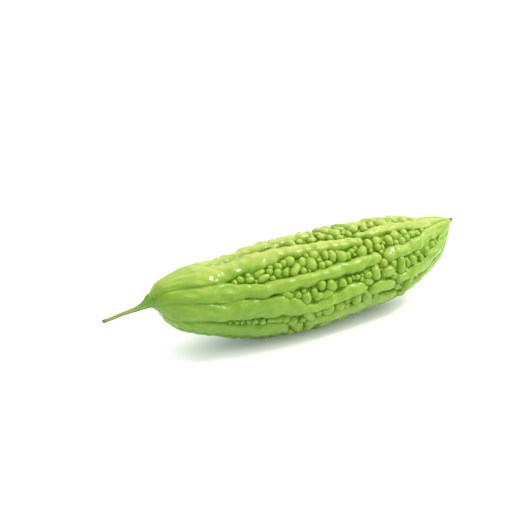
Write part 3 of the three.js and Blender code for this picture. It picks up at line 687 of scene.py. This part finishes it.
def floor_frame(station, angle):
    """Place on the valley floor, and unit vectors there: along the fruit, round it, and out."""
    step = 0.5
    floor = skin_points(station, angle, np.zeros(len(station)))
    run = skin_points(station + step, angle, np.zeros(len(station))) - floor
    turned = skin_points(station, angle + step, np.zeros(len(station))) - floor
    run /= np.linalg.norm(run, axis=1, keepdims=True)
    turned /= np.linalg.norm(turned, axis=1, keepdims=True)
    out = np.cross(run, turned)
    return floor, run, turned, out / np.linalg.norm(out, axis=1, keepdims=True)


# %% Wart points
WART_SHAPE_SEED = 5
WART_LEAN = 0.1


def wart_points(rows):
    """Points of every wart's grid, as an array of wart, ring, side and coordinate, and its poles.

    The ball is drawn out along its spine, made a little lumpy by three sines, and leans at random.
    """
    rng = np.random.default_rng(WART_SHAPE_SEED)
    count = len(rows)
    station, angle, size, stretch, along, around = (rows[:, k, None, None] for k in range(6))
    radius, level = (part[None, :, None] for part in wart_section())
    turn = np.arange(WART_SIDES) * 2 * np.pi / WART_SIDES
    lump = 1.06 + 0.08 * np.sin(2 * turn + rng.uniform(0, 6.3, (count, 1, 1)))
    lump += 0.06 * np.sin(3 * turn + rng.uniform(0, 6.3, (count, 1, 1)))
    lump += 0.03 * np.sin(5 * turn + rng.uniform(0, 6.3, (count, 1, 1)))
    spread = size * radius * lump
    ahead = spread * np.cos(turn) + stretch * np.tanh(2.5 * np.cos(turn)) * np.minimum(radius * 1.3, 1)
    across = spread * np.sin(turn)
    top = valley_depth(station) * wart_share(size) * rng.uniform(0.94, 1.06, (count, 1, 1))
    round_top = np.minimum(size, 0.8 * top)
    widest = top - round_top
    height = widest + np.where(level > 0, round_top, widest + WART_SUNK) * level
    lean = rng.normal(0, WART_LEAN, (count, 2, 1, 1))
    on_along = ahead * along - across * around + lean[:, 0] * height
    on_around = ahead * around + across * along + lean[:, 1] * height
    floor, *axes = floor_frame(rows[:, 0], rows[:, 1])
    points = floor[:, None, None] + sum(
        part[..., None] * axis[:, None, None] for part, axis in zip((on_along, on_around, height), axes)
    )
    return points[:, 1:-1], points[:, [0, -1], 0]


points, poles = wart_points(warts)
print("warts:", points.shape)

# %% Wart mesh
count, rings = points.shape[:2]
per_wart = rings * WART_SIDES + 2
vertices = np.concatenate([points.reshape(count, -1, 3), poles], axis=1).reshape(-1, 3)
vertices[:, 2] = np.maximum(vertices[:, 2], 0.02)
faces = [
    [corner + start for corner in face]
    for start in range(0, per_wart * count, per_wart)
    for face in grid_faces(rings, WART_SIDES)
]
gourd_warts = mesh_from("gourd_warts", vertices, faces)
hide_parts("gourd")
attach(gourd_warts, "root")
level = np.concatenate([np.repeat(wart_section()[1][1:-1], WART_SIDES), [1, -1]])
store(gourd_warts, "height", np.tile(0.55 + 0.45 * level, count))
# Hollow below each ball's widest part paints shade under the ball; the top gets painted light.
store_light(gourd_warts, vertices, np.tile(np.clip(-level, 0, 1), count))
print("wart triangles:", sum(len(face) - 2 for face in faces))

# %% [markdown]
# ## Stalk
# The fruit narrows into its stalk without a seam, and its ridges run on as ribs that die out
# down the stalk, which ends in a dry cut. A cylinder would meet the fruit in a sharp ring. So the
# stalk is a tube carried along a gently hanging line, from inside the neck, with a radius that
# flares to the neck's own and grooves read from the relief there. Each row of STALK_RADIUS and
# STALK_GROOVE has a distance from the neck, and each point of STALK_LINE is counted from the neck.

# %% Stalk measures
STALK_RADIUS = [
    (-3, 6.3), (-1, 5.1), (0, 4.5), (2.5, 3.6), (6, 2.6), (11, 1.7), (20, 1.35), (30, 1.2), (35, 1.35),
]
STALK_GROOVE = [(-3, 1.6), (0, 1.6), (5, 1.2), (12, 0.5), (20, 0.3), (35, 0.3)]
STALK_LINE = [(0, 0, 0), (-3.4, -0.5, -1.2), (-9, -1.2, -2.4), (-18.5, -2.6, -2.7), (-28, -4.0, -3.4),
              (-33, -4.6, -3.6)]
STALK_INSIDE = 3.0
STALK_ROWS = 150
STALK_SIDES = 60
DRY_LENGTH = 2.5
FRESH_LENGTH = 13.0


# %% Tube helper
def carried_frames(middles):
    """Two unit vectors across a line at each of its points, kept as level as they can be."""
    run = np.gradient(middles, axis=0)
    run /= np.linalg.norm(run, axis=1, keepdims=True)
    across = np.cross([0.0, 1.0, 0.0], run)
    across /= np.linalg.norm(across, axis=1, keepdims=True)
    return across, np.cross(run, across)


def tube_points(middles, radius):
    """Points at each turn round the line: middle plus radius times cosine and sine across it."""
    across, side = carried_frames(middles)
    turn = np.arange(radius.shape[1]) * 2 * np.pi / radius.shape[1]
    return (middles[:, None] + (radius * np.cos(turn))[..., None] * across[:, None]
            + (radius * np.sin(turn))[..., None] * side[:, None])


# %% Stalk mesh
line = np.array(STALK_LINE, dtype=float)
line_length = np.concatenate([[0], np.cumsum(np.linalg.norm(np.diff(line, axis=0), axis=1))])
stalk_length = line_length[-1]
down = np.linspace(-STALK_INSIDE, stalk_length, STALK_ROWS)
line_table = np.column_stack([line_length, line])
stalk_middle = np.stack([smooth_read(line_table, down, k) for k in (1, 2, 3)], -1)
stalk_middle[:, 0] -= np.minimum(down, 0)
stalk_middle += neck
turn_grid, down_grid = np.meshgrid(np.arange(STALK_SIDES) * 2 * np.pi / STALK_SIDES, down)
neck_share = ridge_share(np.full(STALK_SIDES, 2.0), np.degrees(turn_grid[0]) + 90)
waves = 0.03 * np.sin(2 * turn_grid + 0.5 * down_grid) + 0.025 * np.sin(3 * turn_grid - 0.9 * down_grid)
stalk_radius = smooth_read(STALK_RADIUS, down_grid) * (1 + waves)
stalk_radius -= smooth_read(STALK_GROOVE, down_grid) * (1 - neck_share)
stalk = tube_points(stalk_middle, stalk_radius)

# The cut end: a rounded lip, then two rings and a middle point that sink into the stalk.
lip = np.array([0.86, 0.5])[:, None, None]
cut = stalk_middle[-1] + (stalk[-1] - stalk_middle[-1]) * lip
cut[:, :, 0] += np.array([-0.1, 0.25])[:, None]
stalk = np.vstack([stalk, cut])
stalk_vertices = np.vstack([stalk.reshape(-1, 3), stalk_middle[0], stalk_middle[-1] + [0.35, 0, 0]])
stem = mesh_from("gourd_stem", stalk_vertices, grid_faces(len(stalk), STALK_SIDES))
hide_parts("stem")
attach(stem, "root")
dryness = np.concatenate([np.clip((down - stalk_length) / DRY_LENGTH + 1, 0, 1), [1, 1]])
store(stem, "dryness", np.concatenate([np.repeat(dryness, STALK_SIDES), [0, 1]]))
fresh = np.concatenate([np.clip(1.15 - down / FRESH_LENGTH, 0, 1), [0, 0]])
store(stem, "fresh", np.concatenate([np.repeat(fresh, STALK_SIDES), [1, 0]]))
store(stem, "height", np.concatenate([np.tile(neck_share, len(stalk)), [1, 1]]))
# The stalk gets painted light from above and the neck's painted shade.
store_light(stem, stalk_vertices, np.full(len(stalk_vertices), NECK_SHADE))
print("stalk:", round(stalk_length, 1), "mm long")

# %% [markdown]
# ## Flower scar
# Where the flower fell off, the tip keeps a small brown stub. It shrivelled as it dried, so it is
# a short tube whose radius is wrinkled by two sines. Each row of SCAR_PROFILE has a distance
# along it and a radius there.

# %% Scar mesh
SCAR_PROFILE = [(-1.0, 1.7), (0.3, 1.5), (0.9, 1.3), (1.6, 0.95), (2.2, 0.75), (2.6, 0.4)]
SCAR_SIDES = 40
SCAR_ROWS = 26
out = np.linspace(SCAR_PROFILE[0][0], SCAR_PROFILE[-1][0], SCAR_ROWS)
turn_grid, out_grid = np.meshgrid(np.arange(SCAR_SIDES) * 2 * np.pi / SCAR_SIDES, out)
wrinkles = 0.12 * np.sin(5 * turn_grid + out_grid) + 0.07 * np.sin(9 * turn_grid - 2.1 * out_grid)
scar_radius = smooth_read(SCAR_PROFILE, out_grid) * (1 + wrinkles * np.clip(out_grid + 0.5, 0, 1))
scar_middle = tip + out[:, None] * tip_run
scar_middle[:, 2] -= 0.04 * np.maximum(out, 0) ** 2
scar = tube_points(scar_middle, scar_radius)
scar_vertices = np.vstack([scar.reshape(-1, 3), scar_middle[0], scar_middle[-1] - 0.2 * tip_run])
blossom_scar = mesh_from("gourd_blossom_scar", scar_vertices, grid_faces(len(out), SCAR_SIDES))
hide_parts("blossom_scar")
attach(blossom_scar, "root")
print("scar:", len(scar_vertices), "vertices")

# %% [markdown]
# ## Finishes
# The skin is pale yellow green where it stands high and deeper green in the creases, with soft
# mottling, and shade is painted into the creases and light onto what faces up. Light goes a little
# way into it, and its wax gives small bright glints. A painted picture would stretch over the
# relief, so the colour is a ramp that reads the stored numbers, shifted by noise. Skin, warts and
# the fresh part of the stalk share one node group for it.

# %% Node helpers
def plain_material(name, roughness):
    """A new material, its nodes, and its shader with a fixed roughness."""
    material = bpy.data.materials.new(name)
    material.use_nodes = True
    shader = material.node_tree.nodes["Principled BSDF"]
    shader.inputs["Roughness"].default_value = roughness
    return material, material.node_tree, shader


def ramp(tree, stops):
    """A colour ramp through stops of position and colour."""
    node = tree.nodes.new("ShaderNodeValToRGB")
    elements = node.color_ramp.elements
    while len(elements) < len(stops):
        elements.new(0.5)
    for element, (position, color) in zip(elements, stops):
        element.position = position
        element.color = (*color, 1)
    return node


def noise(tree, scale, detail=2.0, stretch=(1, 1, 1)):
    """Noise on the object's own coordinates, at so many features a metre."""
    place = tree.nodes.new("ShaderNodeTexCoord")
    mapping = tree.nodes.new("ShaderNodeMapping")
    mapping.inputs["Scale"].default_value = stretch
    texture = tree.nodes.new("ShaderNodeTexNoise")
    texture.inputs["Scale"].default_value = scale
    texture.inputs["Detail"].default_value = detail
    tree.links.new(place.outputs["Object"], mapping.inputs["Vector"])
    tree.links.new(mapping.outputs["Vector"], texture.inputs["Vector"])
    return texture.outputs["Fac"]


def field(tree, name):
    """A number that the mesh stores at each of its vertices."""
    source = tree.nodes.new("ShaderNodeAttribute")
    source.attribute_name = name
    return source.outputs["Fac"]


def math_node(tree, operation, *values):
    """A maths node whose inputs are sockets or numbers."""
    node = tree.nodes.new("ShaderNodeMath")
    node.operation = operation
    for socket, value in zip(node.inputs, values):
        if isinstance(value, (int, float)):
            socket.default_value = value
        else:
            tree.links.new(value, socket)
    return node.outputs[0]


# %% [markdown]
# The level on the ramp is a sum: height raises it, painted light from above raises it, and hollow
# lowers it, which paints shade in the creases. Broad patches, fine mottling and streaks along the
# fruit shift it up or down. The group also puts out a height for the pores, dimples and wrinkles,
# which are too small to be moved points.

# %% Skin colour group
SKIN_FIELDS = ("Height", "Hollow", "Painted_Light")


def skin_colour_group():
    """Height, Hollow and painted light in; Color and Bump out.

    The colour runs from crease green through mid green to the pale tops, with painted shade from
    Hollow and painted light from above, shifted by mottling. Bump adds fine pores and soft dimples.
    """
    group = bpy.data.node_groups.new("gourd_skin_colour", "ShaderNodeTree")
    for name in SKIN_FIELDS:
        group.interface.new_socket(name, in_out="INPUT", socket_type="NodeSocketFloat")
    group.interface.new_socket("Color", in_out="OUTPUT", socket_type="NodeSocketColor")
    group.interface.new_socket("Bump", in_out="OUTPUT", socket_type="NodeSocketFloat")
    given = group.nodes.new("NodeGroupInput")
    result = group.nodes.new("NodeGroupOutput")
    patches = noise(group, 32, 3)
    mottle = noise(group, 230, 2)
    streaks = noise(group, 420, 2, (0.12, 1, 1))
    pores = noise(group, 1500, 2)
    dimples = noise(group, 420, 1)
    wrinkles = noise(group, 190, 1, (0.4, 1, 1))
    level = math_node(group, "MULTIPLY_ADD", given.outputs["Height"], 0.3, -0.55)
    # Hollow lowers the level as painted shade in the creases; painted light from above raises it.
    level = math_node(group, "MULTIPLY_ADD", given.outputs["Hollow"], -0.5, level)
    level = math_node(group, "MULTIPLY_ADD", given.outputs["Painted_Light"], 0.5, level)
    level = math_node(group, "MULTIPLY_ADD", patches, 0.45, level)
    level = math_node(group, "MULTIPLY_ADD", mottle, 0.2, level)
    level = math_node(group, "MULTIPLY_ADD", streaks, 0.45, level)
    tones = ramp(group, [
        (0.0, (0.088, 0.219, 0.023)),
        (0.35, (0.14, 0.271, 0.013)),
        (0.65, (0.202, 0.327, 0.018)),
        (1.0, (0.369, 0.377, 0.073)),
    ])
    group.links.new(level, tones.inputs["Fac"])
    group.links.new(tones.outputs["Color"], result.inputs["Color"])
    height = math_node(group, "MULTIPLY_ADD", dimples, 0.6, math_node(group, "MULTIPLY", pores, 0.3))
    height = math_node(group, "MULTIPLY_ADD", wrinkles, 1.5, height)
    group.links.new(height, result.inputs["Bump"])
    return group


skin_colour = skin_colour_group()
print("skin colour group:", len(skin_colour.nodes), "nodes")


def place_skin_colour(tree):
    """The shared skin colour, fed with the fields that the mesh stores."""
    effect = tree.nodes.new("ShaderNodeGroup")
    effect.node_tree = skin_colour
    for name in SKIN_FIELDS:
        tree.links.new(field(tree, name.lower()), effect.inputs[name])
    return effect


# %% Skin finish
def skin_material(name, bump_height):
    """Waxy skin: the shared colour, light that enters a little, half gloss and a thin coat."""
    material, tree, shader = plain_material(name, 0.36)
    effect = place_skin_colour(tree)
    tree.links.new(effect.outputs["Color"], shader.inputs["Base Color"])
    bump = tree.nodes.new("ShaderNodeBump")
    bump.inputs["Distance"].default_value = bump_height
    bump.inputs["Strength"].default_value = 0.6
    tree.links.new(effect.outputs["Bump"], bump.inputs["Height"])
    tree.links.new(bump.outputs["Normal"], shader.inputs["Normal"])
    shader.inputs["Subsurface Weight"].default_value = 0.6
    shader.inputs["Subsurface Radius"].default_value = (0.7, 1.0, 0.25)
    shader.inputs["Subsurface Scale"].default_value = 0.0014
    shader.inputs["Specular IOR Level"].default_value = 0.13
    shader.inputs["Coat Weight"].default_value = 0.42
    shader.inputs["Coat Roughness"].default_value = 0.14
    return material


gourd_skin.data.materials.append(skin_material("ridge_skin", 0.0006))
gourd_warts.data.materials.append(skin_material("wart_skin", 0.0005))

# %% [markdown]
# The stalk is a duller green with long fibres. It takes on the skin's colour towards the fruit
# and turns brown at its cut end.

# %% Stalk finish
def blend(tree, share, before, after):
    """A colour that goes from one to the other with the share."""
    mix = tree.nodes.new("ShaderNodeMix")
    mix.data_type = "RGBA"
    tree.links.new(share, mix.inputs["Factor"])
    tree.links.new(before, mix.inputs["A"])
    tree.links.new(after, mix.inputs["B"])
    return mix.outputs["Result"]


stem_material, tree, shader = plain_material("stalk_green", 0.5)
fibre = noise(tree, 300, 3, (0.12, 1, 1))
green = ramp(tree, [(0.3, (0.101, 0.168, 0.027)), (0.7, (0.214, 0.281, 0.074))])
brown = ramp(tree, [(0.3, (0.094, 0.08, 0.037)), (0.7, (0.228, 0.201, 0.107))])
tree.links.new(fibre, green.inputs["Fac"])
tree.links.new(fibre, brown.inputs["Fac"])
color = blend(tree, field(tree, "dryness"), green.outputs["Color"], brown.outputs["Color"])
color = blend(tree, field(tree, "fresh"), color, place_skin_colour(tree).outputs["Color"])
tree.links.new(color, shader.inputs["Base Color"])
bump = tree.nodes.new("ShaderNodeBump")
bump.inputs["Distance"].default_value = 0.0004
tree.links.new(fibre, bump.inputs["Height"])
tree.links.new(bump.outputs["Normal"], shader.inputs["Normal"])
shader.inputs["Coat Weight"].default_value = 0.1
shader.inputs["Specular IOR Level"].default_value = 0.2
stem.data.materials.append(stem_material)

# %% Scar finish
scar_material, tree, shader = plain_material("dry_scar", 0.85)
crumple = noise(tree, 900, 3)
tones = ramp(tree, [(0.35, (0.034, 0.02, 0.01)), (0.65, (0.134, 0.087, 0.04))])
tree.links.new(crumple, tones.inputs["Fac"])
tree.links.new(tones.outputs["Color"], shader.inputs["Base Color"])
blossom_scar.data.materials.append(scar_material)

# %% [markdown]
# ## Stage
# The table is white and the room is bright, so the fruit's shadow stays close to it and soft. A
# very large softbox hangs overhead and a weaker one stands at the right. A small lamp between
# them gives the wax its glints. The table glows faintly, which keeps its darkest shadow clear.

# %% Floor and room
floor_mesh = bpy.data.meshes.new("floor")
floor_mesh.from_pydata([(-3, -3, 0), (3, -3, 0), (3, 3, 0), (-3, 3, 0)], [], [(0, 1, 2, 3)])
floor = bpy.data.objects.new("floor", floor_mesh)
bpy.context.scene.collection.objects.link(floor)
floor_material, _, shader = plain_material("white_table", 0.9)
shader.inputs["Base Color"].default_value = (0.95, 0.95, 0.95, 1)
shader.inputs["Emission Color"].default_value = (0.95, 1, 1, 1)
shader.inputs["Emission Strength"].default_value = 0.06
floor.data.materials.append(floor_material)

world = bpy.data.worlds.new("bright_room")
world.use_nodes = True
world.node_tree.nodes["Background"].inputs["Color"].default_value = (0.93, 0.97, 1, 1)
world.node_tree.nodes["Background"].inputs["Strength"].default_value = 0.95
bpy.context.scene.world = world


# %% Softboxes
def softbox(name, place, size, energy, color):
    """A rectangular lamp that faces the fruit."""
    lamp = bpy.data.lights.new(name, "AREA")
    lamp.energy = energy
    lamp.shape = "RECTANGLE"
    lamp.size, lamp.size_y = size
    lamp.color = color
    thing = bpy.data.objects.new(name, lamp)
    thing.location = place
    thing.rotation_euler = Vector(place).to_track_quat("Z", "Y").to_euler()
    bpy.context.scene.collection.objects.link(thing)


softbox("overhead_box", (0.4, 0.1, 1.15), (2.8, 2.8), 34.0, (1, 0.98, 0.92))
softbox("right_box", (1.2, -0.5, 1.0), (1.0, 1.0), 2.5, (1, 0.97, 0.88))
softbox("key_box", (0.66, -0.28, 0.98), (0.26, 0.2), 6.5, (1, 1, 0.95))

# %% [markdown]
# The camera stands at the stalk's side of the front and looks down a little, through a long lens
# that hardly bends the fruit's long shape. The fruit sits right of and below the picture's middle.

# %% Camera
CAMERA_TURN = math.radians(-29)
CAMERA_RISE = math.radians(25)
CAMERA_DISTANCE = 900.0
CAMERA_LENS = 98.84
AIM_RIGHT = -33.3
AIM_UP = 43.8
back = Vector((
    math.sin(CAMERA_TURN) * math.cos(CAMERA_RISE),
    -math.cos(CAMERA_TURN) * math.cos(CAMERA_RISE),
    math.sin(CAMERA_RISE),
))
right = Vector((math.cos(CAMERA_TURN), math.sin(CAMERA_TURN), 0))
up = back.cross(right)
fruit_middle = Vector((NECK_X + FRUIT_LENGTH / 2, 0, 0))
target = fruit_middle + right * AIM_RIGHT + up * AIM_UP - Vector((0, 0, REST_SINK))
camera_data = bpy.data.cameras.new("camera")
camera_data.sensor_width = 36
camera_data.lens = CAMERA_LENS
camera_data.clip_end = 20
camera = bpy.data.objects.new("camera", camera_data)
turned = Matrix((right, up, back)).transposed().to_quaternion()
camera.matrix_world = Matrix.LocRotScale((target + back * CAMERA_DISTANCE) * MM, turned, None)
bpy.context.scene.collection.objects.link(camera)
bpy.context.scene.camera = camera
bpy.context.scene.view_settings.view_transform = "Standard"
print("camera:", [round(x, 3) for x in camera.matrix_world.translation])
